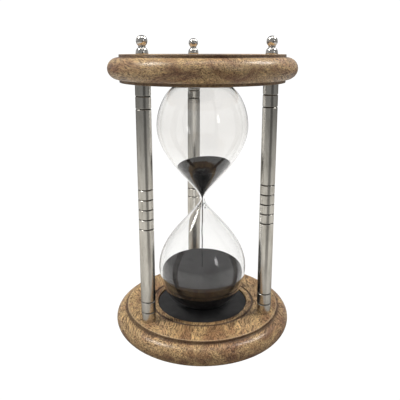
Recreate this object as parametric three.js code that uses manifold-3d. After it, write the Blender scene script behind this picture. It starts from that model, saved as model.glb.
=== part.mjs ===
// A three-post hourglass: two turned wooden boards clamped by three tie rods inside tubular
// posts, with a blown glass and dark sand between felt pads. Millimetres, +Z up, origin at the
// centre of the base's underside. Two of the posts stand at the front (-Y) and one at the back.
import * as THREE from 'three';
import { mergeVertices } from 'three/addons/utils/BufferGeometryUtils.js';
import Module from 'manifold-3d';

const wasm = await Module();
wasm.setup();

// ---- driving dimensions ----
const BOARD_RADIUS = 77;
const BOARD_THICKNESS = 22;
const STEP_HEIGHT = 2.2;
const BEAD_DEPTH = 9.4;
const BOARD_GAP = 196.5;
const POST_CIRCLE = 57.5;
const POST_RADIUS = 6;
const ROD_RADIUS = 2.5;
const CLEARANCE = 0.3;
const POST_ANGLES = { front_left: 210, front_right: 330, back: 90 };

// rings turned into each post, by their heights above its foot; the top end repeats the foot's
const END_RINGS = [8.8, 18.4];
const MIDDLE_RINGS = 5;
const MIDDLE_RING_SPACING = 8.2;
const POST_RING_WIDTH = 1.1;
const POST_RING_DEPTH = 0.45;

// turned recesses for the felt, and the ring cut round them
const RECESS_RADIUS = 40;
const INNER_RECESS_DEPTH = 3;
const OUTER_RECESS_DEPTH = 1.5;
const RING_RADIUS = 45.2;
const RING_WIDTH = 1.4;
const RING_DEPTH = 0.9;

// nuts, washers and the finials on the rods' ends
const COUNTERBORE_RADIUS = 7;
const COUNTERBORE_DEPTH = 7.5;
const WASHER_RADIUS = 5;
const WASHER_THICKNESS = 1;
const NUT_ACROSS_FLATS = 8;
const NUT_HEIGHT = 4;
const ROD_TAIL = 0.9;
const BALL_RADIUS = 4.3;
const BALL_CENTRE = 9.8;
const NECK_RADIUS = 2.8;
const COLLAR_RADIUS = 4.75;
const COLLAR_HEIGHT = 4.7;
const FINIAL_BORE_DEPTH = 4.2;
const THREAD_IN_FINIAL = 3.9;

// blown glass and what it holds
const BASE_PAD_THICKNESS = 2;
const TOP_PAD_THICKNESS = 3.75;
const FELT_INSET = 0.1;
const WAIST_Z = 118.4;
const BULB_RADIUS = 38.5;
const BULB_END_RADIUS = 15.7;
const WAIST_RADIUS = 1.9;
const GLASS_WALL = 1.3;
const WAIST_BORE = 0.95;
const FILL_HOLE_RADIUS = 3;
const CORK_HEIGHT = 3.2;
const SAND_GAP = 0.35;
const STREAM_RADIUS = 0.5;
const UPPER_SAND_Z = 147.6;
const LOWER_SAND_Z = 53;
// the lower heap's centre stands this far above its level at the radius below
const HEAP_RISE = 4;
const HEAP_RADIUS = 60;
// degrees that each sand surface rises towards +X and towards +Y
const UPPER_SAND_SLOPE = { x: 5, y: 6.5 };
const LOWER_SAND_SLOPE = { x: 1, y: 6.5 };

const ROUND_BOARD = 48;
const ROUND_GLASS = 28;
const ROUND_POST = 18;
const ROUND_SMALL = 16;

const topBoardZ = BOARD_THICKNESS + BOARD_GAP;
const boardTopZ = topBoardZ + BOARD_THICKNESS;
const glassBottomZ = BOARD_THICKNESS - INNER_RECESS_DEPTH + BASE_PAD_THICKNESS;
const glassTopZ = topBoardZ + INNER_RECESS_DEPTH - TOP_PAD_THICKNESS;

// ---- finishes ----
const wood = new THREE.MeshStandardMaterial({ color: 0xa9855b, roughness: 0.45, metalness: 0 });
const satinSteel = new THREE.MeshStandardMaterial({ color: 0xaaa59c, roughness: 0.35, metalness: 1 });
const polishedSteel = new THREE.MeshStandardMaterial({ color: 0xc9c7c2, roughness: 0.12, metalness: 1 });
const zinc = new THREE.MeshStandardMaterial({ color: 0x9a9c9e, roughness: 0.4, metalness: 1 });
const blackFelt = new THREE.MeshStandardMaterial({ color: 0x29282a, roughness: 0.95, metalness: 0 });
const darkSand = new THREE.MeshStandardMaterial({ color: 0x333235, roughness: 0.9, metalness: 0 });
const cork = new THREE.MeshStandardMaterial({ color: 0xb08a5c, roughness: 0.9, metalness: 0 });
const clearGlass = new THREE.MeshStandardMaterial({
  color: 0xf2f4f2,
  roughness: 0.02,
  metalness: 0,
  transparent: true,
  opacity: 0.3,
});

const model = new THREE.Group();

function addPiece(name, geometry, material, parent = model) {
  const mesh = new THREE.Mesh(geometry, material);
  mesh.name = name;
  parent.add(mesh);
  return mesh;
}

// ---- turned shapes ----
// An outline is a list of [radius, height] pairs, from the axis at the bottom to the axis at the
// top, or once round an open-centred ring and back to its first point.
function turned(outline, sides) {
  const points = outline.map(([radius, height]) => new THREE.Vector2(radius, height));
  const geometry = new THREE.LatheGeometry(points, sides);
  geometry.rotateX(Math.PI / 2);
  return geometry;
}

function disc(radius, bottom, top, sides) {
  return turned([[0, bottom], [radius, bottom], [radius, top], [0, top]], sides);
}

function ring(outer, inner, bottom, top, sides) {
  return turned([[inner, bottom], [outer, bottom], [outer, top], [inner, top], [inner, bottom]], sides);
}

// ---- cuts ----
function toSolid(geometry) {
  const plain = geometry.clone();
  plain.deleteAttribute('normal');
  plain.deleteAttribute('uv');
  const merged = mergeVertices(plain);
  const mesh = new wasm.Mesh({
    numProp: 3,
    vertProperties: new Float32Array(merged.attributes.position.array),
    triVerts: new Uint32Array(merged.index.array),
  });
  return new wasm.Manifold(mesh);
}

function toGeometry(solid) {
  const mesh = solid.getMesh();
  const geometry = new THREE.BufferGeometry();
  geometry.setAttribute('position', new THREE.BufferAttribute(mesh.vertProperties, 3));
  geometry.setIndex(new THREE.BufferAttribute(mesh.triVerts, 1));
  geometry.computeVertexNormals();
  return geometry;
}

function atPost(angle, radius = POST_CIRCLE) {
  const turn = THREE.MathUtils.degToRad(angle);
  return new THREE.Vector3(radius * Math.cos(turn), radius * Math.sin(turn), 0);
}

// ---- the two boards ----
// One outline serves both: a shallow step, a half-round bead and the same step again, with a deep
// recess and a fine ring on the face towards the glass and a shallow recess on the outer face.
function beadArc(steps) {
  const halfHeight = BOARD_THICKNESS / 2 - STEP_HEIGHT;
  const points = [];
  for (let i = 0; i <= steps; i += 1) {
    const turn = -Math.PI / 2 + (Math.PI * i) / steps;
    const radius = BOARD_RADIUS - BEAD_DEPTH + BEAD_DEPTH * Math.cos(turn);
    points.push([radius, BOARD_THICKNESS / 2 + halfHeight * Math.sin(turn)]);
  }
  return points;
}

function boardOutline() {
  const stepRadius = BOARD_RADIUS - BEAD_DEPTH;
  const ringFoot = BOARD_THICKNESS - RING_DEPTH;
  return [
    [0, OUTER_RECESS_DEPTH],
    [RECESS_RADIUS, OUTER_RECESS_DEPTH],
    [RECESS_RADIUS, 0],
    [stepRadius, 0],
    ...beadArc(8),
    [stepRadius, BOARD_THICKNESS],
    [RING_RADIUS + RING_WIDTH / 2, BOARD_THICKNESS],
    [RING_RADIUS, ringFoot],
    [RING_RADIUS - RING_WIDTH / 2, BOARD_THICKNESS],
    [RECESS_RADIUS, BOARD_THICKNESS],
    [RECESS_RADIUS, BOARD_THICKNESS - INNER_RECESS_DEPTH],
    [0, BOARD_THICKNESS - INNER_RECESS_DEPTH],
  ];
}

function board(counterbored) {
  let solid = toSolid(turned(boardOutline(), ROUND_BOARD));
  for (const angle of Object.values(POST_ANGLES)) {
    const place = atPost(angle);
    const hole = disc(ROD_RADIUS + CLEARANCE, -1, BOARD_THICKNESS + 1, ROUND_SMALL);
    hole.translate(place.x, place.y, 0);
    solid = solid.subtract(toSolid(hole));
    if (counterbored) {
      const socket = disc(COUNTERBORE_RADIUS, -1, COUNTERBORE_DEPTH, ROUND_POST);
      socket.translate(place.x, place.y, 0);
      solid = solid.subtract(toSolid(socket));
    }
  }
  return toGeometry(solid);
}

addPiece('base_board', board(true), wood);
const topBoard = board(false);
topBoard.rotateX(Math.PI);
topBoard.rotateZ(Math.PI);
topBoard.translate(0, 0, boardTopZ);
addPiece('top_board', topBoard, wood);

// ---- felt pads under and over the glass, and inlays in the outer faces ----
const feltRadius = RECESS_RADIUS - CLEARANCE;
const baseRecessFloor = BOARD_THICKNESS - INNER_RECESS_DEPTH;
addPiece('base_pad', disc(feltRadius, baseRecessFloor, glassBottomZ, ROUND_BOARD), blackFelt);
addPiece('top_pad', disc(feltRadius, glassTopZ, topBoardZ + INNER_RECESS_DEPTH, ROUND_BOARD), blackFelt);
addPiece('underside_felt', disc(feltRadius, FELT_INSET, OUTER_RECESS_DEPTH, ROUND_BOARD), blackFelt);
const inlayFloor = boardTopZ - OUTER_RECESS_DEPTH;
addPiece('top_inlay', disc(feltRadius, inlayFloor, boardTopZ - FELT_INSET, ROUND_BOARD), blackFelt);

// ---- posts: tubes with rings turned near both ends and round the middle ----
function ringPlaces() {
  const places = [...END_RINGS];
  for (let i = 0; i < MIDDLE_RINGS; i += 1) {
    places.push(BOARD_GAP / 2 + MIDDLE_RING_SPACING * (i - (MIDDLE_RINGS - 1) / 2));
  }
  return [...places, ...END_RINGS.map((height) => BOARD_GAP - height).reverse()];
}

function postOutline() {
  const outline = [[ROD_RADIUS + 2 * CLEARANCE, 0], [POST_RADIUS, 0]];
  for (const height of ringPlaces()) {
    outline.push([POST_RADIUS, height - POST_RING_WIDTH / 2]);
    outline.push([POST_RADIUS - POST_RING_DEPTH, height]);
    outline.push([POST_RADIUS, height + POST_RING_WIDTH / 2]);
  }
  outline.push([POST_RADIUS, BOARD_GAP]);
  outline.push([ROD_RADIUS + 2 * CLEARANCE, BOARD_GAP]);
  outline.push(outline[0]);
  return outline;
}

// ---- finials: a ball and neck on a domed collar, bored from below for the rod ----
function finialOutline() {
  const bore = ROD_RADIUS + CLEARANCE;
  const outline = [[0, FINIAL_BORE_DEPTH], [bore, FINIAL_BORE_DEPTH], [bore, 0], [COLLAR_RADIUS, 0]];
  const collarRim = 1;
  const domeSteps = 4;
  for (let i = 0; i <= domeSteps; i += 1) {
    const turn = (Math.PI / 2) * (i / domeSteps);
    const radius = NECK_RADIUS + (COLLAR_RADIUS - NECK_RADIUS) * Math.cos(turn);
    outline.push([radius, collarRim + (COLLAR_HEIGHT - collarRim) * Math.sin(turn)]);
  }
  const ballSteps = 8;
  const start = Math.acos(NECK_RADIUS / BALL_RADIUS);
  for (let i = 0; i <= ballSteps; i += 1) {
    const turn = -start + (Math.PI / 2 + start) * (i / ballSteps);
    const radius = i === ballSteps ? 0 : BALL_RADIUS * Math.cos(turn);
    outline.push([radius, BALL_CENTRE + BALL_RADIUS * Math.sin(turn)]);
  }
  return outline;
}

function hexNut() {
  const cornerRadius = NUT_ACROSS_FLATS / Math.sqrt(3);
  const outline = new THREE.Shape();
  for (let corner = 0; corner < 6; corner += 1) {
    const turn = (Math.PI / 3) * corner;
    const x = cornerRadius * Math.cos(turn);
    const y = cornerRadius * Math.sin(turn);
    if (corner === 0) {
      outline.moveTo(x, y);
    } else {
      outline.lineTo(x, y);
    }
  }
  outline.closePath();
  const bore = new THREE.Path();
  bore.absarc(0, 0, ROD_RADIUS + CLEARANCE, 0, 2 * Math.PI, true);
  outline.holes.push(bore);
  const options = { depth: NUT_HEIGHT, bevelEnabled: false, curveSegments: ROUND_SMALL / 2 };
  return new THREE.ExtrudeGeometry(outline, options);
}

// Each post stands with its tie rod, washer, nut and finial on one axis.
const washerZ = COUNTERBORE_DEPTH - WASHER_THICKNESS;
const nutZ = washerZ - NUT_HEIGHT;
const rodBottom = nutZ - ROD_TAIL;
for (const [side, angle] of Object.entries(POST_ANGLES)) {
  const column = new THREE.Group();
  column.position.copy(atPost(angle));
  model.add(column);
  const post = addPiece(`post_${side}`, turned(postOutline(), ROUND_POST), satinSteel, column);
  post.position.z = BOARD_THICKNESS;
  const rod = disc(ROD_RADIUS, rodBottom, boardTopZ + THREAD_IN_FINIAL, ROUND_SMALL);
  addPiece(`tie_rod_${side}`, rod, zinc, column);
  const finial = addPiece(`finial_${side}`, turned(finialOutline(), ROUND_SMALL), polishedSteel, column);
  finial.position.z = boardTopZ;
  const washer = ring(WASHER_RADIUS, ROD_RADIUS + CLEARANCE, 0, WASHER_THICKNESS, ROUND_SMALL);
  addPiece(`washer_${side}`, washer, zinc, column).position.z = washerZ;
  addPiece(`nut_${side}`, hexNut(), zinc, column).position.z = nutZ;
}

// ---- glass: one blown piece, two bulbs joined at a fine waist ----
// Heights along the flare and the crown of a bulb are parts of its whole height, so both bulbs
// keep one shape although the upper one is a little taller.
const BELLY_HEIGHT = 0.6385;
const FLARE_START = 0.1035;
const FLARE_END = 0.2915;
const CROWN_START = 0.1617;
const CROWN_END = 12.8;
const FLARE_STEPS = 9;
const CROWN_STEPS = 6;

function bulbCurves(height, waistRadius, bellyRadius, endRadius) {
  const belly = BELLY_HEIGHT * height;
  const flare = new THREE.CubicBezierCurve(
    new THREE.Vector2(waistRadius, 0),
    new THREE.Vector2(waistRadius, FLARE_START * height),
    new THREE.Vector2(bellyRadius, belly - FLARE_END * height),
    new THREE.Vector2(bellyRadius, belly),
  );
  const crown = new THREE.CubicBezierCurve(
    new THREE.Vector2(bellyRadius, belly),
    new THREE.Vector2(bellyRadius, belly + CROWN_START * height),
    new THREE.Vector2(endRadius + CROWN_END, height),
    new THREE.Vector2(endRadius, height),
  );
  return { flare, crown };
}

// [radius, height above the waist] pairs from the waist to the bulb's flat end
function bulbSide(height, waistRadius, bellyRadius, endRadius, flareSteps, crownSteps) {
  const { flare, crown } = bulbCurves(height, waistRadius, bellyRadius, endRadius);
  const points = [...flare.getPoints(flareSteps), ...crown.getPoints(crownSteps).slice(1)];
  return points.map((point) => [point.x, point.y]);
}

const upperHeight = glassTopZ - WAIST_Z;
const lowerHeight = WAIST_Z - glassBottomZ;

function upwards(side) {
  return side.map(([radius, height]) => [radius, WAIST_Z + height]);
}

function downwards(side) {
  return side.map(([radius, height]) => [radius, WAIST_Z - height]).reverse();
}

function outerSide(height) {
  return bulbSide(height, WAIST_RADIUS, BULB_RADIUS, BULB_END_RADIUS, FLARE_STEPS, CROWN_STEPS);
}

function innerSide(height, inset) {
  const waist = WAIST_BORE - inset;
  const belly = BULB_RADIUS - GLASS_WALL - inset;
  return bulbSide(height - GLASS_WALL - inset, waist, belly, BULB_END_RADIUS, FLARE_STEPS, CROWN_STEPS);
}

function glassOutline() {
  const outer = [...downwards(outerSide(lowerHeight)), ...upwards(outerSide(upperHeight)).slice(1)];
  const inner = [...downwards(innerSide(lowerHeight, 0)), ...upwards(innerSide(upperHeight, 0)).slice(1)];
  return [
    [FILL_HOLE_RADIUS, glassBottomZ],
    ...outer,
    [0, glassTopZ],
    [0, glassTopZ - GLASS_WALL],
    ...inner.reverse(),
    [FILL_HOLE_RADIUS, glassBottomZ + GLASS_WALL],
    [FILL_HOLE_RADIUS, glassBottomZ],
  ];
}

addPiece('glass_bulb', turned(glassOutline(), ROUND_GLASS), clearGlass);

// the filling hole in the lower bulb's end and its cork
const corkRadius = FILL_HOLE_RADIUS - CLEARANCE;
addPiece('fill_cork', disc(corkRadius, glassBottomZ, glassBottomZ + CORK_HEIGHT, ROUND_SMALL), cork);

// ---- sand: what is still above, the falling thread, and what has run through ----
function insideUpper() {
  const side = upwards(innerSide(upperHeight, SAND_GAP));
  return turned([[0, side[0][1]], ...side, [0, side[side.length - 1][1]]], ROUND_GLASS);
}

function insideLower() {
  const side = downwards(innerSide(lowerHeight, SAND_GAP));
  const corkTop = glassBottomZ + CORK_HEIGHT + CLEARANCE;
  const corkSide = FILL_HOLE_RADIUS + CLEARANCE;
  const floor = side[0][1];
  const outline = [[0, corkTop], [corkSide, corkTop], [corkSide, floor], ...side, [0, side[side.length - 1][1]]];
  return turned(outline, ROUND_GLASS);
}

// A wide plug, flat on top or domed by `rise`, tipped to the slopes that the sand lies at. The
// middle of its top stays at `height`.
function levelledTo(height, rise, slope) {
  const depth = 50;
  const domeSteps = 4;
  const outline = [[0, -depth], [HEAP_RADIUS, -depth]];
  for (let i = domeSteps; i >= 0; i -= 1) {
    const part = i / domeSteps;
    outline.push([HEAP_RADIUS * part, -rise * part ** 2]);
  }
  const plug = turned(outline, ROUND_GLASS);
  plug.rotateY(-THREE.MathUtils.degToRad(slope.x));
  plug.rotateX(THREE.MathUtils.degToRad(slope.y));
  plug.translate(0, 0, height);
  return toSolid(plug);
}

const upperSand = toSolid(insideUpper()).intersect(levelledTo(UPPER_SAND_Z, 0, UPPER_SAND_SLOPE));
addPiece('upper_sand', toGeometry(upperSand), darkSand);
const lowerLevel = levelledTo(LOWER_SAND_Z, HEAP_RISE, LOWER_SAND_SLOPE);
addPiece('lower_sand', toGeometry(toSolid(insideLower()).intersect(lowerLevel)), darkSand);
const streamTop = WAIST_Z - CLEARANCE;
const streamFoot = LOWER_SAND_Z + CLEARANCE;
addPiece('falling_sand', disc(STREAM_RADIUS, streamFoot, streamTop, ROUND_SMALL / 2), darkSand);

export default model;
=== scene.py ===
from math import asin, cos, hypot, pi, radians, sin, tan

import bmesh
import bpy
from mathutils import Matrix, Vector, noise


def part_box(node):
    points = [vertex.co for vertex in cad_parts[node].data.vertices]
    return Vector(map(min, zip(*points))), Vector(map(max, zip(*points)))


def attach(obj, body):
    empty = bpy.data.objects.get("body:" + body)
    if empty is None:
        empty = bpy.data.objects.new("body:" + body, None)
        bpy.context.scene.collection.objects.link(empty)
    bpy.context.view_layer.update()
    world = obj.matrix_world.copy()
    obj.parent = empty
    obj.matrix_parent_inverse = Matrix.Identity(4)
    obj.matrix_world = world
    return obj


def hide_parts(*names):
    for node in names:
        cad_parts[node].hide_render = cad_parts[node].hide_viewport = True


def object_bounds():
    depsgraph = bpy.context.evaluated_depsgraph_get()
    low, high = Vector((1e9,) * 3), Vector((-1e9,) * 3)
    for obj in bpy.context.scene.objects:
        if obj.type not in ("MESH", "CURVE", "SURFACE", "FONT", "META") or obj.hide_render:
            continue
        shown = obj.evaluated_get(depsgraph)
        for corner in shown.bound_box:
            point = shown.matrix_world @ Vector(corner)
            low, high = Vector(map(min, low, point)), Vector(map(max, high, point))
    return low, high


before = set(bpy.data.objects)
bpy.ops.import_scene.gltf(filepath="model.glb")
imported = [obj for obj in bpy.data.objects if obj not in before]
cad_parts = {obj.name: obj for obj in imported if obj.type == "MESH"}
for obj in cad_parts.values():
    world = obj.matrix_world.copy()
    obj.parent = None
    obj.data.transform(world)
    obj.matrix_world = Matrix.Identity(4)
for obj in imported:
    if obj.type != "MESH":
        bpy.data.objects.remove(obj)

cad_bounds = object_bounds()

# ---- the table and the light ----
# The hourglass stands on a plain white table in a light tent, which is grey to the things in it
# and darkest beside the viewer. Three softboxes over it and a small window do the lighting.
MM = 0.001
VIEW_TURN = radians(8.5)
VIEW_DISTANCE = 411.0 * MM
VIEW_HEIGHT = 243.1 * MM
VIEW_PITCH = radians(13.05)
VIEW_PAN = radians(0.28)
DARK_TURN = radians(14.0)
WHITE = (1.0, 1.0, 1.0, 1.0)
SEEN_WHITE = 1.05
TABLE_HALF = 14.0
LIGHT_TARGET = Vector((0.0, 0.0, 0.12))

camera_data = bpy.data.cameras.new("viewer")
camera_data.sensor_width = 36.0
camera_data.lens = 44.3
camera_data.shift_y = -0.0875
camera = bpy.data.objects.new("viewer", camera_data)
camera.location = (-VIEW_DISTANCE * sin(VIEW_TURN), -VIEW_DISTANCE * cos(VIEW_TURN), VIEW_HEIGHT)
camera.rotation_euler = (pi / 2 - VIEW_PITCH, 0.0, VIEW_PAN - VIEW_TURN)
bpy.context.scene.collection.objects.link(camera)
bpy.context.scene.camera = camera
bpy.context.scene.view_settings.view_transform = "Standard"


def link(nodes, source, target):
    nodes.id_data.links.new(source, target)


def add_node(nodes, kind, **values):
    """A shader node with the given properties, and its inputs by name."""
    made = nodes.new(kind)
    for name, value in values.items():
        if name in made.inputs:
            made.inputs[name].default_value = value
        else:
            setattr(made, name, value)
    return made


def ramp(nodes, source, stops):
    """A colour ramp read from a value, given as (place, colour or grey) stops."""
    made = nodes.new("ShaderNodeValToRGB")
    elements = made.color_ramp.elements
    while len(elements) < len(stops):
        elements.new(0.5)
    for element, (place, colour) in zip(elements, stops):
        element.position = place
        grey = isinstance(colour, (int, float))
        element.color = (colour, colour, colour, 1.0) if grey else (*colour, 1.0)
    link(nodes, source, made.inputs["Fac"])
    return made.outputs["Color"]


def calculate(nodes, operation, *terms):
    """One sum, of terms that are each a socket or a number."""
    made = nodes.new("ShaderNodeMath")
    made.operation = operation
    for socket, term in zip(made.inputs, terms):
        if isinstance(term, (int, float)):
            socket.default_value = term
        else:
            link(nodes, term, socket)
    return made.outputs[0]


def mix(nodes, factor, first, second, blend="MIX"):
    """A second colour laid over a first. The factor and the second are each a socket or a value."""
    made = add_node(nodes, "ShaderNodeMix", data_type="RGBA", blend_type=blend)
    link(nodes, first, made.inputs[6])
    for value, socket in ((factor, made.inputs["Factor"]), (second, made.inputs[7])):
        if isinstance(value, bpy.types.NodeSocket):
            link(nodes, value, socket)
        else:
            socket.default_value = value
    return made.outputs[2]


def by_ray(nodes, seen, through, bounced):
    """One shader for what is seen straight, one for what is seen through glass, one for the rest.
    Light that reaches the glass from a dull surface counts as the rest."""
    rays = add_node(nodes, "ShaderNodeLightPath")
    no_bounce = calculate(nodes, "SUBTRACT", 1.0, rays.outputs["Diffuse Depth"])
    through_glass = calculate(nodes, "MULTIPLY", rays.outputs["Is Transmission Ray"],
                              calculate(nodes, "MAXIMUM", no_bounce, 0.0))
    chosen = bounced
    for chance, shader in ((through_glass, through), (rays.outputs["Is Camera Ray"], seen)):
        either = add_node(nodes, "ShaderNodeMixShader")
        link(nodes, chance, either.inputs[0])
        link(nodes, chosen.outputs[0], either.inputs[1])
        link(nodes, shader.outputs[0], either.inputs[2])
        chosen = either
    return chosen


def towards_dark_side(nodes, direction):
    """How far a direction points to the tent's dark side: 1 is straight at it, 0 is away from it."""
    unit = add_node(nodes, "ShaderNodeVectorMath", operation="NORMALIZE")
    link(nodes, direction, unit.inputs[0])
    along = add_node(nodes, "ShaderNodeVectorMath", operation="DOT_PRODUCT")
    link(nodes, unit.outputs[0], along.inputs[0])
    along.inputs[1].default_value = (sin(DARK_TURN), -cos(DARK_TURN), 0.0)
    return calculate(nodes, "MULTIPLY_ADD", along.outputs["Value"], 0.5, 0.5)


def light_tent():
    world = bpy.data.worlds.new("light_tent")
    bpy.context.scene.world = world
    world.use_nodes = True
    nodes = world.node_tree.nodes
    nodes.clear()
    place = add_node(nodes, "ShaderNodeTexCoord").outputs["Generated"]
    walls = ramp(nodes, towards_dark_side(nodes, place), [
        (0.0, 0.42), (0.35, 0.40), (0.60, 0.30), (0.86, 0.25), (0.935, 0.38), (0.965, 0.30),
        (0.982, 0.08), (1.0, 0.05),
    ])
    height = add_node(nodes, "ShaderNodeSeparateXYZ")
    link(nodes, place, height.inputs[0])
    overhead = ramp(nodes, height.outputs["Z"], [(0.35, 0.0), (0.7, 1.0)])
    tent = mix(nodes, overhead, walls, (0.24, 0.24, 0.24, 1.0))
    seen = add_node(nodes, "ShaderNodeBackground", Strength=SEEN_WHITE, Color=WHITE)
    through = add_node(nodes, "ShaderNodeBackground", Strength=1.0, Color=(0.96, 0.96, 0.95, 1.0))
    shining = add_node(nodes, "ShaderNodeBackground", Strength=1.0)
    link(nodes, tent, shining.inputs["Color"])
    out = add_node(nodes, "ShaderNodeOutputWorld")
    link(nodes, by_ray(nodes, seen, through, shining).outputs[0], out.inputs["Surface"])


def softbox(name, place, size, power, tone=(1.0, 1.0, 1.0)):
    """A rectangle of light that faces the middle of the glass."""
    data = bpy.data.lights.new(name, "AREA")
    data.shape = "RECTANGLE"
    data.size, data.size_y = size
    data.energy = power
    data.color = tone
    lamp = bpy.data.objects.new(name, data)
    lamp.location = place
    aim = LIGHT_TARGET - Vector(place)
    lamp.rotation_euler = aim.to_track_quat("-Z", "Y").to_euler()
    bpy.context.scene.collection.objects.link(lamp)


def white_table():
    """A table of white paper. It is plain white to the eye. Seen in reflections and through the glass,
    its far part is painted dimmer;
    in reflections it also has a painted shadow under the object, a painted shadow strip to the dark side
    and a faint painted glow."""
    bm = bmesh.new()
    bmesh.ops.create_grid(bm, x_segments=2, y_segments=2, size=TABLE_HALF)
    mesh = bpy.data.meshes.new("table_top")
    bm.to_mesh(mesh)
    bm.free()
    table = bpy.data.objects.new("table_top", mesh)
    bpy.context.scene.collection.objects.link(table)
    material = bpy.data.materials.new("white_table")
    material.use_nodes = True
    nodes = material.node_tree.nodes
    nodes.clear()
    place = add_node(nodes, "ShaderNodeTexCoord").outputs["Object"]
    away = add_node(nodes, "ShaderNodeVectorMath", operation="LENGTH")
    link(nodes, place, away.inputs[0])
    distance = away.outputs["Value"]
    # painted shade: a painted shadow under the object, and the far part painted dimmer
    reach = ramp(nodes, distance, [
        (0.09, (0.26, 0.25, 0.24)), (0.17, (0.55, 0.54, 0.52)), (0.35, (0.55, 0.54, 0.52)),
        (0.7, (0.48, 0.475, 0.465)), (1.0, (0.35, 0.35, 0.345)),
    ])
    # a painted shadow strip, as of the viewer, running out towards the tent's dark side
    shadow_strip = ramp(nodes, towards_dark_side(nodes, place), [(0.94, 1.0), (0.965, 0.9), (0.982, 0.36)])
    shadow_strip_start = ramp(nodes, distance, [(0.10, 0.0), (0.22, 1.0)])
    shade = mix(nodes, shadow_strip_start, reach, shadow_strip, "MULTIPLY")
    paper = add_node(nodes, "ShaderNodeBsdfDiffuse")
    link(nodes, shade, paper.inputs["Color"])
    # a faint painted glow on top of the lit paper, though the table is no lamp
    painted_glow = add_node(nodes, "ShaderNodeEmission", Strength=0.28)
    link(nodes, shade, painted_glow.inputs["Color"])
    bounced = add_node(nodes, "ShaderNodeAddShader")
    link(nodes, paper.outputs[0], bounced.inputs[0])
    link(nodes, painted_glow.outputs[0], bounced.inputs[1])
    seen = add_node(nodes, "ShaderNodeEmission", Strength=SEEN_WHITE, Color=WHITE)
    through = add_node(nodes, "ShaderNodeEmission", Strength=1.2)
    # seen through the glass, the far table is painted dimmer, as light falls off
    dimming = ramp(nodes, distance, [(0.45, (1.0, 1.0, 0.995)), (0.9, (0.78, 0.77, 0.755))])
    link(nodes, dimming, through.inputs["Color"])
    out = add_node(nodes, "ShaderNodeOutputMaterial")
    link(nodes, by_ray(nodes, seen, through, bounced).outputs[0], out.inputs["Surface"])
    mesh.materials.append(material)


light_tent()
softbox("softbox_left", (-0.62, 0.05, 1.0), (0.35, 0.35), 8.0, (1.0, 0.98, 0.94))
softbox("softbox_right", (0.66, 0.10, 1.0), (0.35, 0.35), 7.5, (1.0, 0.98, 0.95))
softbox("softbox_top", (0.0, -0.1, 1.2), (0.5, 0.4), 2.6)
softbox("window", (0.80, -1.28, 0.62), (0.20, 0.36), 0.8)
white_table()

# ---- the two boards ----
# Discs of pale, curly hardwood, turned on a lathe: a half-round bead between two shallow steps, a
# recess on each face for felt and a fine ring cut round the deep one. Rubbed with a satin lacquer.
BOARD_SEGMENTS = 256
BEAD_STEPS = 28
STEP_HEIGHT = 2.2 * MM
BEAD_DEPTH = 9.4 * MM
RECESS_RADIUS = 40.0 * MM
INNER_RECESS_DEPTH = 3.0 * MM
OUTER_RECESS_DEPTH = 1.5 * MM
RING_RADIUS = 45.2 * MM
RING_WIDTH = 1.5 * MM
RING_DEPTH = 1.0 * MM
ROD_BORE = 2.8 * MM
COUNTERBORE = 7.0 * MM
COUNTERBORE_DEPTH = 7.5 * MM
COUNTERBORE_CHAMFER = 0.4 * MM
DRILL_OVERRUN = 1.0 * MM
SIDES = ("front_left", "front_right", "back")
RING_FLATNESS = 1.8
PORE_BROWN = (0.065, 0.030, 0.012, 1.0)
# painted shade for the wood's turned corner and its ring groove
CORNER_SHADE_BROWN = (0.070, 0.034, 0.016, 1.0)
# painted highlight for the step's rim
RIM_HIGHLIGHT_PALE = (0.66, 0.48, 0.29, 1.0)


def middle_of(node):
    low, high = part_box(node)
    return (low + high) / 2


def move(bm, x, y, z):
    bmesh.ops.translate(bm, verts=bm.verts, vec=(x, y, z))
    return bm


def turned(outline, segments):
    """A bmesh spun from an outline of (radius, height) points, welded and facing outwards."""
    bm = bmesh.new()
    points = [bm.verts.new((radius, 0.0, height)) for radius, height in outline]
    for first, second in zip(points, points[1:]):
        if first.co.x or second.co.x:
            bm.edges.new((first, second))
    bmesh.ops.spin(bm, geom=bm.verts[:] + bm.edges[:], cent=(0.0, 0.0, 0.0), axis=(0.0, 0.0, 1.0),
                   angle=2.0 * pi, steps=segments, use_merge=True)
    bmesh.ops.remove_doubles(bm, verts=bm.verts, dist=0.0005 * MM)
    bmesh.ops.recalc_face_normals(bm, faces=bm.faces)
    return bm


def soften(bm, width, segments=2, sharpest=radians(30)):
    """Rounds every edge where two faces meet sharply, as sanding or a polishing wheel does."""
    sharp = [edge for edge in bm.edges if edge.is_manifold and edge.calc_face_angle() > sharpest]
    bmesh.ops.bevel(bm, geom=sharp, offset=width, segments=segments, profile=0.5, affect="EDGES",
                    material=-1, clamp_overlap=True)
    return bm


def new_piece(bm, name, material, replaced, crease=radians(40)):
    """Finishes a bmesh as a piece of the object. It replaces a CAD node if one is named."""
    mesh = bpy.data.meshes.new(name)
    bm.to_mesh(mesh)
    bm.free()
    for polygon in mesh.polygons:
        polygon.use_smooth = True
    mesh.set_sharp_from_angle(angle=crease)
    mesh.materials.append(material)
    piece = bpy.data.objects.new(name, mesh)
    bpy.context.scene.collection.objects.link(piece)
    even = piece.modifiers.new("even_shading", "WEIGHTED_NORMAL")
    even.keep_sharp = True
    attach(piece, "root")
    if replaced:
        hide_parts(replaced)
    return piece


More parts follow.
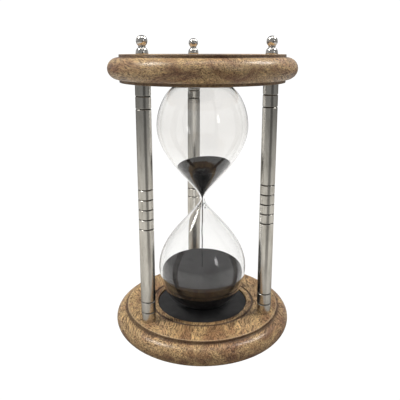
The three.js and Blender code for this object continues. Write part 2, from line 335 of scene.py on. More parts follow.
def cut_out(bm, cutters):
    """The bmesh with the closed cutter bmeshes taken out of it."""
    solids = []
    for number, solid in enumerate([bm] + cutters):
        mesh = bpy.data.meshes.new(f"blank_{number}")
        solid.to_mesh(mesh)
        solid.free()
        solids.append(bpy.data.objects.new(f"blank_{number}", mesh))
        bpy.context.scene.collection.objects.link(solids[-1])
    for cutter in solids[1:]:
        drill = solids[0].modifiers.new("drill", "BOOLEAN")
        drill.operation = "DIFFERENCE"
        drill.solver = "EXACT"
        drill.object = cutter
    bpy.context.view_layer.update()
    cut = bmesh.new()
    cut.from_object(solids[0], bpy.context.evaluated_depsgraph_get())
    for solid in solids:
        bpy.data.meshes.remove(solid.data)
    return cut


def new_material(name):
    """A material, its nodes, its shader, and the place on the object that patterns are read at."""
    material = bpy.data.materials.new(name)
    material.use_nodes = True
    nodes = material.node_tree.nodes
    place = add_node(nodes, "ShaderNodeTexCoord").outputs["Object"]
    return material, nodes, nodes["Principled BSDF"], place


def pattern(nodes, kind, vector, **values):
    """A texture that is read at a vector."""
    made = add_node(nodes, kind, **values)
    link(nodes, vector, made.inputs["Vector"])
    return made


def stretch(nodes, vector, across, along, up):
    """A vector divided by a size along each axis, so the larger the size, the longer the pattern."""
    made = add_node(nodes, "ShaderNodeMapping")
    made.inputs["Scale"].default_value = (1 / across, 1 / along, 1 / up)
    link(nodes, vector, made.inputs["Vector"])
    return made.outputs[0]


def add_bump(nodes, height, strength, depth, normal):
    """Fine relief on one of the shader's normals."""
    bump = add_node(nodes, "ShaderNodeBump", Strength=strength, Distance=depth)
    link(nodes, height, bump.inputs["Height"])
    link(nodes, bump.outputs[0], normal)


def grained_wood(name, turn, shift):
    """Curly hardwood under satin lacquer. The grain runs along Y before the board is turned."""
    material, nodes, shader, place = new_material(name)
    board = add_node(nodes, "ShaderNodeMapping")
    board.inputs["Rotation"].default_value = (0.0, 0.0, turn)
    board.inputs["Location"].default_value = shift
    link(nodes, place, board.inputs["Vector"])

    # the grain wanders from side to side, so every pattern below is read from a bent place
    def wander(vector, scale, amount):
        drift = pattern(nodes, "ShaderNodeTexNoise", vector, Scale=scale, Detail=1.5, Roughness=0.5)
        centred = add_node(nodes, "ShaderNodeVectorMath", operation="SUBTRACT")
        link(nodes, drift.outputs["Color"], centred.inputs[0])
        centred.inputs[1].default_value = (0.5, 0.5, 0.5)
        sized = add_node(nodes, "ShaderNodeVectorMath", operation="SCALE")
        link(nodes, centred.outputs[0], sized.inputs[0])
        sized.inputs["Scale"].default_value = amount
        moved = add_node(nodes, "ShaderNodeVectorMath", operation="ADD")
        link(nodes, vector, moved.inputs[0])
        link(nodes, sized.outputs[0], moved.inputs[1])
        return moved.outputs[0]

    def streaks(vector, across, along, detail=2.0):
        """Noise drawn out along the grain and flattened with the rings; sizes in millimetres."""
        drawn_out = stretch(nodes, vector, across, along, across / RING_FLATNESS)
        made = pattern(nodes, "ShaderNodeTexNoise", drawn_out, Scale=1 / MM, Detail=detail,
                       Roughness=0.55)
        return made.outputs["Fac"]

    bent = wander(board.outputs[0], 1 / (45 * MM), 34 * MM)
    curly = wander(bent, 1 / (10 * MM), 2.6 * MM)
    tone = ramp(nodes, streaks(bent, 16.0, 55.0, 3.0), [
        (0.32, (0.26, 0.12, 0.052)), (0.44, (0.44, 0.255, 0.115)),
        (0.56, (0.68, 0.455, 0.21)), (0.70, (0.48, 0.275, 0.130)),
    ])
    figure = ramp(nodes, streaks(curly, 1.6, 7.0, 2.0), [(0.36, 0.60), (0.52, 1.0), (0.70, 1.25)])
    pores = ramp(nodes, streaks(curly, 0.68, 11.0, 1.0), [(0.42, 1.0), (0.50, 0.0)])
    vessels = ramp(nodes, streaks(bent, 1.2, 12.0, 0.0), [(0.29, 1.0), (0.38, 0.0)])

    figured = mix(nodes, 0.85, tone, figure, "MULTIPLY")
    open_pores = calculate(nodes, "MAXIMUM", pores, vessels)
    pored = mix(nodes, calculate(nodes, "MULTIPLY", open_pores, 0.82), figured, PORE_BROWN)

    # painted shade darkens the turned corner by the step wall and the ring groove, and a painted
    # highlight lightens the step's rim
    flat = add_node(nodes, "ShaderNodeVectorMath", operation="MULTIPLY")
    link(nodes, place, flat.inputs[0])
    flat.inputs[1].default_value = (1.0 / MM, 1.0 / MM, 0.0)
    radius = add_node(nodes, "ShaderNodeVectorMath", operation="LENGTH")
    link(nodes, flat.outputs[0], radius.inputs[0])
    radius_mm = radius.outputs["Value"]

    def near(centre, reach):
        """1 at this radius, fading to 0 at this distance from it; in millimetres."""
        away = calculate(nodes, "ABSOLUTE", calculate(nodes, "SUBTRACT", radius_mm, centre))
        closeness = calculate(nodes, "SUBTRACT", 1.0, calculate(nodes, "DIVIDE", away, reach))
        return calculate(nodes, "MAXIMUM", closeness, 0.0)

    corner = (cad_bounds[1].x - BEAD_DEPTH) / MM
    ring = calculate(nodes, "MULTIPLY", near(RING_RADIUS / MM, 1.3), 2.2)
    ring = calculate(nodes, "MINIMUM", ring, 1.0)
    # painted shade: the corner by the step wall and the ring groove are darkened
    painted_corner_shade = calculate(nodes, "MAXIMUM", near(corner + 0.6, 2.0), ring)
    shaded_wood = mix(nodes, calculate(nodes, "MULTIPLY", painted_corner_shade, 0.9), pored, CORNER_SHADE_BROWN)
    # painted highlight: a pale line on the flat face just inside the step's rim
    rim_highlight = calculate(nodes, "MULTIPLY", near(corner - 0.9, 0.7), 0.55)
    link(nodes, mix(nodes, rim_highlight, shaded_wood, RIM_HIGHLIGHT_PALE), shader.inputs["Base Color"])

    # open pores stay matt, and the turning tool leaves faint rings
    gloss = ramp(nodes, open_pores, [(0.0, 0.40), (1.0, 0.68)])
    link(nodes, gloss, shader.inputs["Roughness"])
    rings = add_node(nodes, "ShaderNodeTexNoise", noise_dimensions="1D", Scale=2.2, Detail=2.0)
    link(nodes, radius_mm, rings.inputs["W"])
    tool_rings = calculate(nodes, "MULTIPLY", rings.outputs["Fac"], 0.25)
    relief = calculate(nodes, "MULTIPLY_ADD", open_pores, -1.0, tool_rings)
    add_bump(nodes, relief, 0.55, 0.18 * MM, shader.inputs["Normal"])
    shader.inputs["Coat Weight"].default_value = 0.30
    shader.inputs["Coat Roughness"].default_value = 0.20
    add_bump(nodes, figure, 0.5, 0.12 * MM, shader.inputs["Coat Normal"])
    return material


def board_outline(outer_radius, thickness):
    """From the axis on the outer face, round the rim, to the axis on the face towards the glass."""
    step_radius = outer_radius - BEAD_DEPTH
    half_bead = thickness / 2 - STEP_HEIGHT
    bead = []
    for step in range(BEAD_STEPS + 1):
        turn = -pi / 2 + pi * step / BEAD_STEPS
        bead.append((step_radius + BEAD_DEPTH * cos(turn), thickness / 2 + half_bead * sin(turn)))
    groove = [(RING_RADIUS + RING_WIDTH / 2 * side, thickness - RING_DEPTH * (1 - abs(side)))
              for side in (1.0, 0.4, -0.4, -1.0)]
    return [
        (0.0, OUTER_RECESS_DEPTH), (RECESS_RADIUS, OUTER_RECESS_DEPTH), (RECESS_RADIUS, 0.0),
        (step_radius, 0.0), *bead, (step_radius, thickness), *groove,
        (RECESS_RADIUS, thickness), (RECESS_RADIUS, thickness - INNER_RECESS_DEPTH),
        (0.0, thickness - INNER_RECESS_DEPTH),
    ]


def make_board(node, material, upside_down=False, counterbored=False):
    low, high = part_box(node)
    thickness = high.z - low.z
    bm = soften(turned(board_outline(high.x, thickness), BOARD_SEGMENTS), 0.35 * MM, 3)
    if upside_down:
        bmesh.ops.rotate(bm, verts=bm.verts, cent=(0.0, 0.0, thickness / 2),
                         matrix=Matrix.Rotation(pi, 3, "X"))
    move(bm, 0.0, 0.0, low.z)
    drills = []
    for side in SIDES:
        rod = middle_of(f"tie_rod_{side}")
        start, end = low.z - DRILL_OVERRUN, high.z + DRILL_OVERRUN
        drill = [(0.0, start), (ROD_BORE, start), (ROD_BORE, end), (0.0, end)]
        if counterbored:
            floor = low.z + COUNTERBORE_DEPTH
            chamfer = COUNTERBORE + COUNTERBORE_CHAMFER
            drill[1:2] = [(chamfer + DRILL_OVERRUN, start), (COUNTERBORE, low.z + COUNTERBORE_CHAMFER),
                          (COUNTERBORE, floor), (ROD_BORE, floor)]
        drills.append(move(turned(drill, 48), rod.x, rod.y, 0.0))
    new_piece(cut_out(bm, drills), f"{node}_turned", material, node)


base_wood = grained_wood("base_wood", radians(8), (0.013, 0.02, 0.004))
make_board("base_board", base_wood, counterbored=True)
top_wood = grained_wood("top_wood", radians(-14), (0.21, -0.08, 0.05))
make_board("top_board", top_wood, upside_down=True)

# ---- felt under and over the glass, and in the outer faces ----
# Black wool felt, punched out as discs and glued into the turned recesses. The pad over the glass
# is thicker, because no two blown glasses are the same length.
FELT_RINGS = 26
FELT_NAP = 0.06 * MM


def wool_felt():
    material, nodes, shader, place = new_material("wool_felt")
    fibres = pattern(nodes, "ShaderNodeTexNoise", place, Scale=1 / (0.35 * MM), Detail=4.0,
                     Roughness=0.7, Distortion=1.6)
    matting = pattern(nodes, "ShaderNodeTexNoise", place, Scale=1 / (9 * MM), Detail=2.0)
    half_fibres = calculate(nodes, "MULTIPLY", fibres.outputs["Fac"], 0.5)
    mixed = calculate(nodes, "MULTIPLY_ADD", matting.outputs["Fac"], 0.5, half_fibres)
    shades = ramp(nodes, mixed, [(0.35, (0.016, 0.016, 0.017)), (0.65, (0.042, 0.041, 0.043))])
    link(nodes, shades, shader.inputs["Base Color"])
    shader.inputs["Roughness"].default_value = 0.95
    shader.inputs["Specular IOR Level"].default_value = 0.25
    shader.inputs["Sheen Weight"].default_value = 0.15
    shader.inputs["Sheen Roughness"].default_value = 0.5
    add_bump(nodes, fibres.outputs["Fac"], 0.6, 0.15 * MM, shader.inputs["Normal"])
    return material


def felt_disc(node, name, material):
    """A punched disc with a soft rim, and a nap on both faces that lies a little uneven."""
    low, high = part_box(node)
    bm = bmesh.new()
    bmesh.ops.create_circle(bm, cap_ends=True, radius=high.x, segments=160,
                            matrix=Matrix.Translation((0.0, 0.0, low.z)))
    rim = bmesh.ops.extrude_face_region(bm, geom=bm.faces[:])
    lifted = [part for part in rim["geom"] if isinstance(part, bmesh.types.BMVert)]
    bmesh.ops.translate(bm, verts=lifted, vec=(0.0, 0.0, high.z - low.z))
    bmesh.ops.recalc_face_normals(bm, faces=bm.faces)
    soften(bm, 0.3 * MM, 3)
    caps = [face for face in bm.faces if len(face.verts) > 4]
    ring = high.x / (FELT_RINGS + 2)
    for _ in range(FELT_RINGS):
        bmesh.ops.inset_region(bm, faces=caps, thickness=ring, use_even_offset=True)
    bmesh.ops.poke(bm, faces=caps)
    for vert in bm.verts:
        on_a_face = abs(vert.normal.z) > 0.9
        if on_a_face:
            depth = FELT_NAP * (0.5 + 0.5 * noise.noise(vert.co / (3.0 * MM)))
            vert.co.z -= depth * (1 if vert.normal.z > 0 else -1)
    disc = new_piece(bm, name, material, node)


felt = wool_felt()
felt_disc("base_pad", "felt_under_glass", felt)
felt_disc("top_pad", "felt_over_glass", felt)
felt_disc("underside_felt", "felt_underside", felt)
felt_disc("top_inlay", "felt_in_top", felt)

# ---- posts ----
# Tubes of plated steel, parted off square, with two rings turned near each end and five round the
# middle, then brushed along their length. They stand between the boards and keep them apart.
POST_RADIUS = 6.0 * MM
POST_BORE = 3.1 * MM
END_RINGS = (8.8 * MM, 18.4 * MM)
MIDDLE_RINGS = 5
MIDDLE_RING_SPACING = 8.2 * MM
GROOVE_WIDTH = 1.1 * MM
GROOVE_DEPTH = 0.5 * MM
GROOVE = "groove"
# painted shade for the hollows of the turned rings
GROOVE_SHADE_DARK = (0.05, 0.045, 0.04, 1.0)


def brushed_plate():
    material, nodes, shader, place = new_material("brushed_plate")

    def streaked(across, along, detail):
        """Noise drawn out along the post; sizes in millimetres."""
        drawn_out = stretch(nodes, place, across, across, along)
        made = pattern(nodes, "ShaderNodeTexNoise", drawn_out, Scale=1 / MM, Detail=detail,
                       Roughness=0.6)
        return made.outputs["Fac"]

    brushing = streaked(0.22, 30.0, 3.0)
    smears = streaked(3.0, 16.0, 3.0)
    shades = ramp(nodes, smears, [
        (0.28, (0.47, 0.45, 0.41)), (0.5, (0.61, 0.59, 0.545)), (0.72, (0.68, 0.66, 0.615)),
    ])
    # painted shade darkens the turned rings, which are also made rougher
    groove_shade = add_node(nodes, "ShaderNodeAttribute", attribute_name=GROOVE).outputs["Fac"]
    link(nodes, mix(nodes, groove_shade, shades, GROOVE_SHADE_DARK), shader.inputs["Base Color"])
    shader.inputs["Metallic"].default_value = 1.0
    shader.inputs["Specular Tint"].default_value = (0.62, 0.61, 0.59, 1.0)
    dulled = calculate(nodes, "MAXIMUM", ramp(nodes, smears, [(0.3, 0.26), (0.7, 0.17)]),
                       calculate(nodes, "MULTIPLY", groove_shade, 0.6))
    link(nodes, dulled, shader.inputs["Roughness"])
    add_bump(nodes, brushing, 0.25, 0.05 * MM, shader.inputs["Normal"])
    return material


def ring_heights(length):
    """How high each turned ring lies above the post's foot."""
    heights = list(END_RINGS)
    for number in range(MIDDLE_RINGS):
        heights.append(length / 2 + MIDDLE_RING_SPACING * (number - (MIDDLE_RINGS - 1) / 2))
    return heights + [length - height for height in reversed(END_RINGS)]


def post_outline(radius, length):
    outline = [(POST_BORE, 0.0), (radius, 0.0)]
    floor, mouth, bottom = radius - GROOVE_DEPTH, GROOVE_WIDTH / 2, GROOVE_WIDTH / 6
    for height in ring_heights(length):
        outline += [(radius, height - mouth), (floor, height - bottom),
                    (floor, height + bottom), (radius, height + mouth)]
    outline += [(radius, length), (POST_BORE, length), (POST_BORE, 0.0)]
    return outline


def mark_grooves(bm):
    """Stores how deep in a ring each point lies, from 0 to 1, where the plate is darkened with painted
    shade and dulled by old polish.
    """
    depth = bm.verts.layers.float.new(GROOVE)
    for vert in bm.verts:
        sunk = POST_RADIUS - hypot(vert.co.x, vert.co.y)
        vert[depth] = min(1.0, max(0.0, sunk / GROOVE_DEPTH)) if sunk < 2 * GROOVE_DEPTH else 0.0


plate = brushed_plate()
for side in SIDES:
    low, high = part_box(f"post_{side}")
    centre = middle_of(f"tie_rod_{side}")
    bm = soften(turned(post_outline(POST_RADIUS, high.z - low.z), 72), 0.12 * MM, 2)
    mark_grooves(bm)
    move(bm, centre.x, centre.y, low.z)
    new_piece(bm, f"tube_{side}", plate, f"post_{side}")

# ---- tie rods, washers and nuts ----
# A zinc-plated 5 mm rod runs down each post, threaded at both ends. A washer and a hexagon nut in
# the base's counterbore pull the boards onto the posts.
THREAD_PITCH = 0.8 * MM
THREAD_DEPTH = 0.43 * MM
THREAD_LENGTH = 12.0 * MM
THREAD_STEPS = 24
ROD_RADIUS = 2.5 * MM
FASTENER_HOLE = ROD_RADIUS + 0.3 * MM


def zinc_plate():
    material, nodes, shader, place = new_material("zinc_plate")
    spangle = pattern(nodes, "ShaderNodeTexVoronoi", place, Scale=1 / (1.6 * MM))
    dulling = pattern(nodes, "ShaderNodeTexNoise", place, Scale=1 / (2.5 * MM), Detail=4.0)
    blend = calculate(nodes, "MULTIPLY_ADD", spangle.outputs["Distance"], 0.25, dulling.outputs["Fac"])
    shades = ramp(nodes, blend, [(0.4, (0.45, 0.46, 0.48)), (0.8, (0.66, 0.67, 0.68))])
    link(nodes, shades, shader.inputs["Base Color"])
    link(nodes, ramp(nodes, blend, [(0.4, 0.5), (0.8, 0.3)]), shader.inputs["Roughness"])
    shader.inputs["Metallic"].default_value = 1.0
    add_bump(nodes, dulling.outputs["Fac"], 0.3, 0.04 * MM, shader.inputs["Normal"])
    return material


def cap_open_ends(bm):
    open_edges = [edge for edge in bm.edges if edge.is_boundary]
    bmesh.ops.holes_fill(bm, edges=open_edges, sides=0)


def thread(bottom, top):
    """A screw thread: one tooth's edge swept round and up, then cut flat at both ends."""
    bm = bmesh.new()
    turns = int((top - bottom) / THREAD_PITCH) + 2
    root, crest = ROD_RADIUS - THREAD_DEPTH, ROD_RADIUS
    tooth = [(root, 0.0), (root, 0.2), (crest, 0.45), (crest, 0.6), (root, 0.85), (root, 1.0)]
    start = bottom - THREAD_PITCH
    points = [bm.verts.new((radius, 0.0, start + part * THREAD_PITCH)) for radius, part in tooth]
    for first, second in zip(points, points[1:]):
        bm.edges.new((first, second))
    steps = THREAD_STEPS * turns
    bmesh.ops.spin(bm, geom=bm.verts[:] + bm.edges[:], cent=(0.0, 0.0, 0.0), axis=(0.0, 0.0, 1.0),
                   dvec=(0.0, 0.0, THREAD_PITCH * turns / steps), angle=2.0 * pi * turns, steps=steps)
    bmesh.ops.remove_doubles(bm, verts=bm.verts, dist=0.001 * MM)
    for height, direction in ((bottom, -1.0), (top, 1.0)):
        bmesh.ops.bisect_plane(bm, geom=bm.verts[:] + bm.edges[:] + bm.faces[:],
                               plane_co=(0.0, 0.0, height), plane_no=(0.0, 0.0, direction),
                               clear_outer=True)
    cap_open_ends(bm)
    bmesh.ops.recalc_face_normals(bm, faces=bm.faces)
    return bm


def add_in(bm, other):
    """Puts another bmesh's parts into this one."""
    mesh = bpy.data.meshes.new("part")
    other.to_mesh(mesh)
    other.free()
    bm.from_mesh(mesh)
    bpy.data.meshes.remove(mesh)


def hexagon_nut(low, high, bore):
    """A hexagon with its corners turned down to a circle and a chamfered hole."""
    bm = bmesh.new()
    height = high.z - low.z
    across_flats = high.y - low.y
    bmesh.ops.create_circle(bm, cap_ends=False, radius=across_flats / 2 / cos(pi / 6), segments=6)
    bmesh.ops.rotate(bm, verts=bm.verts, cent=(0, 0, 0), matrix=Matrix.Rotation(pi / 6, 3, "Z"))
    # each side is cut in eight, so that the hexagon has as many edges as the hole
    bmesh.ops.subdivide_edges(bm, edges=bm.edges[:], cuts=7)
    bmesh.ops.create_circle(bm, cap_ends=False, radius=bore, segments=6 * 8)
    bmesh.ops.bridge_loops(bm, edges=bm.edges[:])
    grown = bmesh.ops.extrude_face_region(bm, geom=bm.faces[:])
    lifted = [part for part in grown["geom"] if isinstance(part, bmesh.types.BMVert)]
    bmesh.ops.translate(bm, verts=lifted, vec=(0.0, 0.0, height))
    bmesh.ops.recalc_face_normals(bm, faces=bm.faces)
    for vert in bm.verts:
        radius = hypot(vert.co.x, vert.co.y)
        turned_down = max(0.0, radius - across_flats / 2) * tan(radians(30))
        vert.co.z += turned_down if vert.co.z < height / 2 else -turned_down
    soften(bm, 0.12 * MM, 2, radians(50))
    return move(bm, (low.x + high.x) / 2, (low.y + high.y) / 2, low.z)


zinc = zinc_plate()
for side in SIDES:
    low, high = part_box(f"tie_rod_{side}")
    centre = (low + high) / 2
    rod = thread(low.z, low.z + THREAD_LENGTH)
    shank_low, shank_high = low.z + THREAD_LENGTH, high.z - THREAD_LENGTH
    shank = [(0.0, shank_low), (ROD_RADIUS, shank_low), (ROD_RADIUS, shank_high), (0.0, shank_high)]
    add_in(rod, turned(shank, 40))
    add_in(rod, thread(shank_high, high.z))
    move(rod, centre.x, centre.y, 0.0)
    new_piece(rod, f"threaded_rod_{side}", zinc, f"tie_rod_{side}", radians(60))

    low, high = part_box(f"washer_{side}")
    radius = (high.x - low.x) / 2
    ring = [(FASTENER_HOLE, low.z), (radius, low.z), (radius, high.z), (FASTENER_HOLE, high.z),
            (FASTENER_HOLE, low.z)]
    bm = move(soften(turned(ring, 56), 0.15 * MM, 2), centre.x, centre.y, 0.0)
    new_piece(bm, f"plain_washer_{side}", zinc, f"washer_{side}")

    low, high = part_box(f"nut_{side}")
    bm = hexagon_nut(low, high, FASTENER_HOLE)
    new_piece(bm, f"hexagon_nut_{side}", zinc, f"nut_{side}", radians(30))

# ---- finials ----
# A ball and neck on a domed collar, turned from one piece, plated and polished. Each screws onto
# the end of a tie rod and closes its hole in the top board.
BALL_RADIUS = 4.3 * MM
NECK_RADIUS = 2.8 * MM
COLLAR_RADIUS = 4.75 * MM
COLLAR_HEIGHT = 4.7 * MM
COLLAR_RIM = 1.0 * MM
FINIAL_BORE = 2.8 * MM
FINIAL_BORE_DEPTH = 4.2 * MM
DOME_STEPS = 12
BALL_STEPS = 28


def polished_plate():
    material, nodes, shader, place = new_material("polished_plate")
    bloom = pattern(nodes, "ShaderNodeTexNoise", place, Scale=1 / (3.5 * MM), Detail=4.0, Roughness=0.6)
    shades = ramp(nodes, bloom.outputs["Fac"], [(0.35, (0.66, 0.63, 0.585)), (0.7, (0.78, 0.76, 0.72))])
    link(nodes, shades, shader.inputs["Base Color"])
    shader.inputs["Metallic"].default_value = 1.0
    gloss = ramp(nodes, bloom.outputs["Fac"], [(0.3, 0.16), (0.7, 0.07)])
    link(nodes, gloss, shader.inputs["Roughness"])
    scratches = pattern(nodes, "ShaderNodeTexNoise", place, Scale=1 / (0.4 * MM), Detail=3.0)
    add_bump(nodes, scratches.outputs["Fac"], 0.08, 0.03 * MM, shader.inputs["Normal"])
    return material


def finial_outline(foot, top):
    """(radius, height) points from the bore's end, round the collar and up over the ball."""
    outline = [(0.0, foot + FINIAL_BORE_DEPTH), (FINIAL_BORE, foot + FINIAL_BORE_DEPTH),
               (FINIAL_BORE, foot), (COLLAR_RADIUS, foot)]
    dome = COLLAR_HEIGHT - COLLAR_RIM
    for step in range(DOME_STEPS + 1):
        turn = pi / 2 * step / DOME_STEPS
        radius = NECK_RADIUS + (COLLAR_RADIUS - NECK_RADIUS) * cos(turn)
        outline.append((radius, foot + COLLAR_RIM + dome * sin(turn)))
    start = -asin((1 - (NECK_RADIUS / BALL_RADIUS) ** 2) ** 0.5)
    for step in range(BALL_STEPS + 1):
        turn = start + (pi / 2 - start) * step / BALL_STEPS
        radius = BALL_RADIUS * cos(turn) if step < BALL_STEPS else 0.0
        outline.append((radius, top - BALL_RADIUS + BALL_RADIUS * sin(turn)))
    return outline


polish = polished_plate()
for side in SIDES:
    low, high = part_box(f"finial_{side}")
    centre = middle_of(f"tie_rod_{side}")
    bm = soften(turned(finial_outline(low.z, high.z), 64), 0.12 * MM, 2, radians(35))
    move(bm, centre.x, centre.y, 0.0)
    new_piece(bm, f"ball_finial_{side}", polish, f"finial_{side}")

# ---- the glass ----
# One piece of clear tube, blown into two bulbs and drawn to a fine waist, with flat ends where it
# was cut off. It was filled through a small hole in its lower end.
GLASS_SEGMENTS = 160
FLARE_STEPS = 40
CROWN_STEPS = 26
WAIST_HEIGHT = 118.4 * MM
WAIST_RADIUS = 1.9 * MM
WAIST_BORE = 0.95 * MM
WALL = 1.3 * MM
END_RADIUS = 15.7 * MM
END_PULL = 12.8 * MM
FILL_HOLE = 3.0 * MM
# shares of a bulb's height: where it is widest, and how far its curves are pulled straight
BELLY_SHARE = 0.6385
FLARE_START, FLARE_END = 0.1035, 0.2915
CROWN_START = 0.1617
glass_low, glass_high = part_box("glass_bulb")
BELLY_RADIUS = glass_high.x


def bezier(start, first, second, end, steps):
    """Points along a cubic curve through (radius, height) pairs."""
    points = []
    for step in range(steps + 1):
        t = step / steps
        weights = ((1 - t) ** 3, 3 * (1 - t) ** 2 * t, 3 * (1 - t) * t ** 2, t ** 3)
        pulls = list(zip(weights, (start, first, second, end)))
        points.append(tuple(sum(weight * pull[axis] for weight, pull in pulls) for axis in (0, 1)))
    return points


def bulb_side(height, waist, belly_radius):
    """(radius, height above the waist) points from the waist to the bulb's flat end."""
    belly = BELLY_SHARE * height
    flare = bezier((waist, 0.0), (waist, FLARE_START * height),
                   (belly_radius, belly - FLARE_END * height), (belly_radius, belly), FLARE_STEPS)
    crown = bezier((belly_radius, belly), (belly_radius, belly + CROWN_START * height),
                   (END_RADIUS + END_PULL, height), (END_RADIUS, height), CROWN_STEPS)
    return flare + crown[1:]


def both_sides(inset, waist):
    """The glass's side from its lower end to its upper end, this far inside the outer face."""
    lower = bulb_side(WAIST_HEIGHT - glass_low.z - inset, waist, BELLY_RADIUS - inset)
    upper = bulb_side(glass_high.z - WAIST_HEIGHT - inset, waist, BELLY_RADIUS - inset)
    below = [(radius, WAIST_HEIGHT - height) for radius, height in reversed(lower)]
    above = [(radius, WAIST_HEIGHT + height) for radius, height in upper[1:]]
    return below + above


def clear_glass():
    """Clear glass with the faint waves of blowing. Light from the lamps goes through unbent."""
    material, nodes, shader, place = new_material("blown_glass")
    shader.inputs["Base Color"].default_value = (0.96, 0.957, 0.95, 1.0)
    shader.inputs["Transmission Weight"].default_value = 1.0
    shader.inputs["IOR"].default_value = 1.48
    film = pattern(nodes, "ShaderNodeTexNoise", place, Scale=1 / (14 * MM), Detail=3.0)
    haze = ramp(nodes, film.outputs["Fac"], [(0.45, 0.0), (0.75, 0.03)])
    link(nodes, haze, shader.inputs["Roughness"])
    drawn_out = stretch(nodes, place, 1.0, 1.0, 1 / 0.35)
    waves = pattern(nodes, "ShaderNodeTexNoise", drawn_out, Scale=1 / (11 * MM), Detail=1.0)
    add_bump(nodes, waves.outputs["Fac"], 0.15, 0.12 * MM, shader.inputs["Normal"])
    rays = add_node(nodes, "ShaderNodeLightPath")
    passing = add_node(nodes, "ShaderNodeBsdfTransparent", Color=(0.93, 0.94, 0.93, 1.0))
    either = add_node(nodes, "ShaderNodeMixShader")
    link(nodes, rays.outputs["Is Shadow Ray"], either.inputs[0])
    link(nodes, shader.outputs[0], either.inputs[1])
    link(nodes, passing.outputs[0], either.inputs[2])
    link(nodes, either.outputs[0], nodes["Material Output"].inputs["Surface"])
    return material


outer = both_sides(0.0, WAIST_RADIUS)
inner = both_sides(WALL, WAIST_BORE)
glass_outline = [(FILL_HOLE, glass_low.z), *outer, (0.0, glass_high.z), (0.0, glass_high.z - WALL),
                 *reversed(inner), (FILL_HOLE, glass_low.z + WALL), (FILL_HOLE, glass_low.z)]
new_piece(turned(glass_outline, GLASS_SEGMENTS), "blown_bulbs", clear_glass(),
          "glass_bulb", radians(60))

# ---- the cork ----
# A slice of natural cork, cut a little tapered and pressed into the filling hole. The glass is
# filled first, and the felt under it hides the cork.
CORK_TAPER = 0.94


def natural_cork():
    material, nodes, shader, place = new_material("natural_cork")
    cells = pattern(nodes, "ShaderNodeTexVoronoi", place, Scale=1 / (0.5 * MM))
    shades = ramp(nodes, cells.outputs["Distance"], [
        (0.1, (0.20, 0.11, 0.05)), (0.45, (0.45, 0.29, 0.15)), (0.8, (0.56, 0.38, 0.21)),
    ])
    link(nodes, shades, shader.inputs["Base Color"])
    shader.inputs["Roughness"].default_value = 0.9
    add_bump(nodes, cells.outputs["Distance"], 0.6, 0.1 * MM, shader.inputs["Normal"])
    return material


low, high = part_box("fill_cork")
cork_outline = [(0.0, low.z), (high.x, low.z), (high.x * CORK_TAPER, high.z), (0.0, high.z)]
cork = soften(turned(cork_outline, 48), 0.25 * MM, 3)
new_piece(cork, "cork_stopper", natural_cork(), "fill_cork")

# ---- the sand ----
# Fine dark sand: a cone that is still above, a thread that falls, and a heap that has run through.
# It lies against the inside of the glass, its surface slopes a little, and a few clumps cling.
SAND_GAP = 0.35 * MM
HEAP_RISE = 4.0 * MM
HEAP_RADIUS = 60.0 * MM
SURFACE_RINGS = 30
UPPER_LEVEL = 147.6 * MM
LOWER_LEVEL = 53.0 * MM
UPPER_SLOPE = (radians(5.0), radians(6.5))
LOWER_SLOPE = (radians(1.0), radians(6.5))
CORK_CLEARANCE = 0.3 * MM
CORK_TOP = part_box("fill_cork")[1].z + CORK_CLEARANCE
FALL_STEPS = 60
FALL_UNEVENNESS = 2.2 * MM
SWAY = 0.8 * MM
SWAY_LENGTH = 16.0 * MM
SWAY_GROWTH = 25.0 * MM
CLUMPS = 16
CLUMPS_START = 5.0 * MM
CLUMPS_BAND = 4.5 * MM
GOLDEN_TURN = pi * (3.0 - 5.0 ** 0.5)


def dark_sand():
    material, nodes, shader, place = new_material("dark_sand")
    grains = pattern(nodes, "ShaderNodeTexVoronoi", place, Scale=1 / (0.32 * MM))
    patches = pattern(nodes, "ShaderNodeTexNoise", place, Scale=1 / (6 * MM), Detail=5.0, Roughness=0.65)
    each = add_node(nodes, "ShaderNodeSeparateColor")
    link(nodes, grains.outputs["Color"], each.inputs[0])
    patchy = calculate(nodes, "MULTIPLY", patches.outputs["Fac"], 0.55)
    mixed = calculate(nodes, "MULTIPLY_ADD", each.outputs[0], 0.45, patchy)
    shades = ramp(nodes, mixed, [
        (0.25, (0.006, 0.006, 0.007)), (0.55, (0.014, 0.013, 0.014)), (0.82, (0.045, 0.043, 0.046)),
    ])
    link(nodes, shades, shader.inputs["Base Color"])
    shader.inputs["Roughness"].default_value = 0.85
    shader.inputs["Specular IOR Level"].default_value = 0.12
    add_bump(nodes, grains.outputs["Distance"], 0.7, 0.15 * MM, shader.inputs["Normal"])
    return material


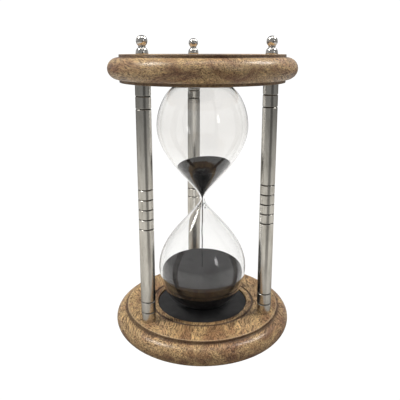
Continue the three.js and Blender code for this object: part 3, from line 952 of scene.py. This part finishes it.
def pour(outline, level, slope, rise, name, node, material):
    """Sand that fills a turned outline up to a sloping level, with a ruffled top."""
    bm = turned(outline, 128)
    up = Vector((-tan(slope[0]), -tan(slope[1]), 1.0)).normalized()
    bmesh.ops.bisect_plane(bm, geom=bm.verts[:] + bm.edges[:] + bm.faces[:],
                           plane_co=(0.0, 0.0, level), plane_no=up, clear_outer=True)
    against_glass = set(bm.faces)
    rim = [edge for edge in bm.edges if edge.is_boundary]
    surface = bmesh.ops.holes_fill(bm, edges=rim, sides=0)["faces"]
    reach = max(hypot(vert.co.x, vert.co.y) for vert in surface[0].verts)
    for ring in range(SURFACE_RINGS, 1, -1):
        bmesh.ops.inset_region(bm, faces=surface, thickness=0.0)
        bmesh.ops.scale(bm, verts=surface[0].verts[:], vec=((ring - 1) / ring,) * 3,
                        space=Matrix.Translation((0.0, 0.0, -level)))
    bmesh.ops.poke(bm, faces=surface)
    for vert in bm.verts:
        if not against_glass.isdisjoint(vert.link_faces):
            continue
        away = hypot(vert.co.x, vert.co.y)
        heap = rise * ((reach / HEAP_RADIUS) ** 2 - (away / HEAP_RADIUS) ** 2)
        ruffle = 0.35 * noise.noise(vert.co / (5.0 * MM)) + 0.16 * noise.noise(vert.co / (1.3 * MM))
        vert.co.z += heap + ruffle * MM
    bmesh.ops.recalc_face_normals(bm, faces=bm.faces)
    new_piece(bm, name, material, node)


sand = dark_sand()
wall_inside = both_sides(WALL + SAND_GAP, WAIST_BORE - SAND_GAP)
above_waist = [point for point in wall_inside if point[1] >= WAIST_HEIGHT]
below_waist = [point for point in wall_inside if point[1] <= WAIST_HEIGHT]
upper_outline = [(0.0, above_waist[0][1]), *above_waist, (0.0, above_waist[-1][1])]
pour(upper_outline, UPPER_LEVEL, UPPER_SLOPE, 0.0, "sand_above", "upper_sand", sand)
cork_side = FILL_HOLE + CORK_CLEARANCE
lower_outline = [(0.0, CORK_TOP), (cork_side, CORK_TOP), (cork_side, below_waist[0][1]), *below_waist,
                 (0.0, below_waist[-1][1])]
rim_drop = HEAP_RISE * ((BELLY_RADIUS - WALL - SAND_GAP) / HEAP_RADIUS) ** 2
pour(lower_outline, LOWER_LEVEL - rim_drop, LOWER_SLOPE, HEAP_RISE, "sand_below", "lower_sand", sand)

low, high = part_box("falling_sand")
thread_outline = [(0.0, low.z)]
for step in range(FALL_STEPS + 1):
    height = low.z + (high.z - low.z) * step / FALL_STEPS
    wobble = noise.noise(Vector((0.0, 0.0, height / FALL_UNEVENNESS)))
    thread_outline.append((high.x * (0.84 + 0.15 * wobble), height))
thread_outline.append((0.0, high.z))
fall = turned(thread_outline, 12)
for vert in fall.verts:
    fallen = min(1.0, max(0.0, WAIST_HEIGHT - vert.co.z) / SWAY_GROWTH)
    vert.co.x += SWAY * fallen * noise.noise(Vector((0.0, 3.0, vert.co.z / SWAY_LENGTH)))
new_piece(fall, "sand_thread", sand, "falling_sand")


def clinging_clumps():
    """Little clumps of sand that cling to the inside of the glass, just under the waist."""
    bm = bmesh.new()
    for number in range(CLUMPS):
        height = WAIST_HEIGHT - (CLUMPS_START + CLUMPS_BAND * number / CLUMPS)
        above, below = next(pair for pair in zip(wall_inside[1:], wall_inside) if pair[0][1] >= height)
        share = (height - below[1]) / (above[1] - below[1])
        size = (0.58 + 0.25 * noise.noise(Vector((number * 0.37, 0.0, 0.0)))) * MM
        radius = below[0] + share * (above[0] - below[0]) - 0.7 * size
        turn = number * GOLDEN_TURN
        spot = Matrix.Translation((radius * cos(turn), radius * sin(turn), height))
        bmesh.ops.create_icosphere(bm, subdivisions=1, radius=size, matrix=spot)
    new_piece(bm, "sand_clinging", sand, None)


clinging_clumps()
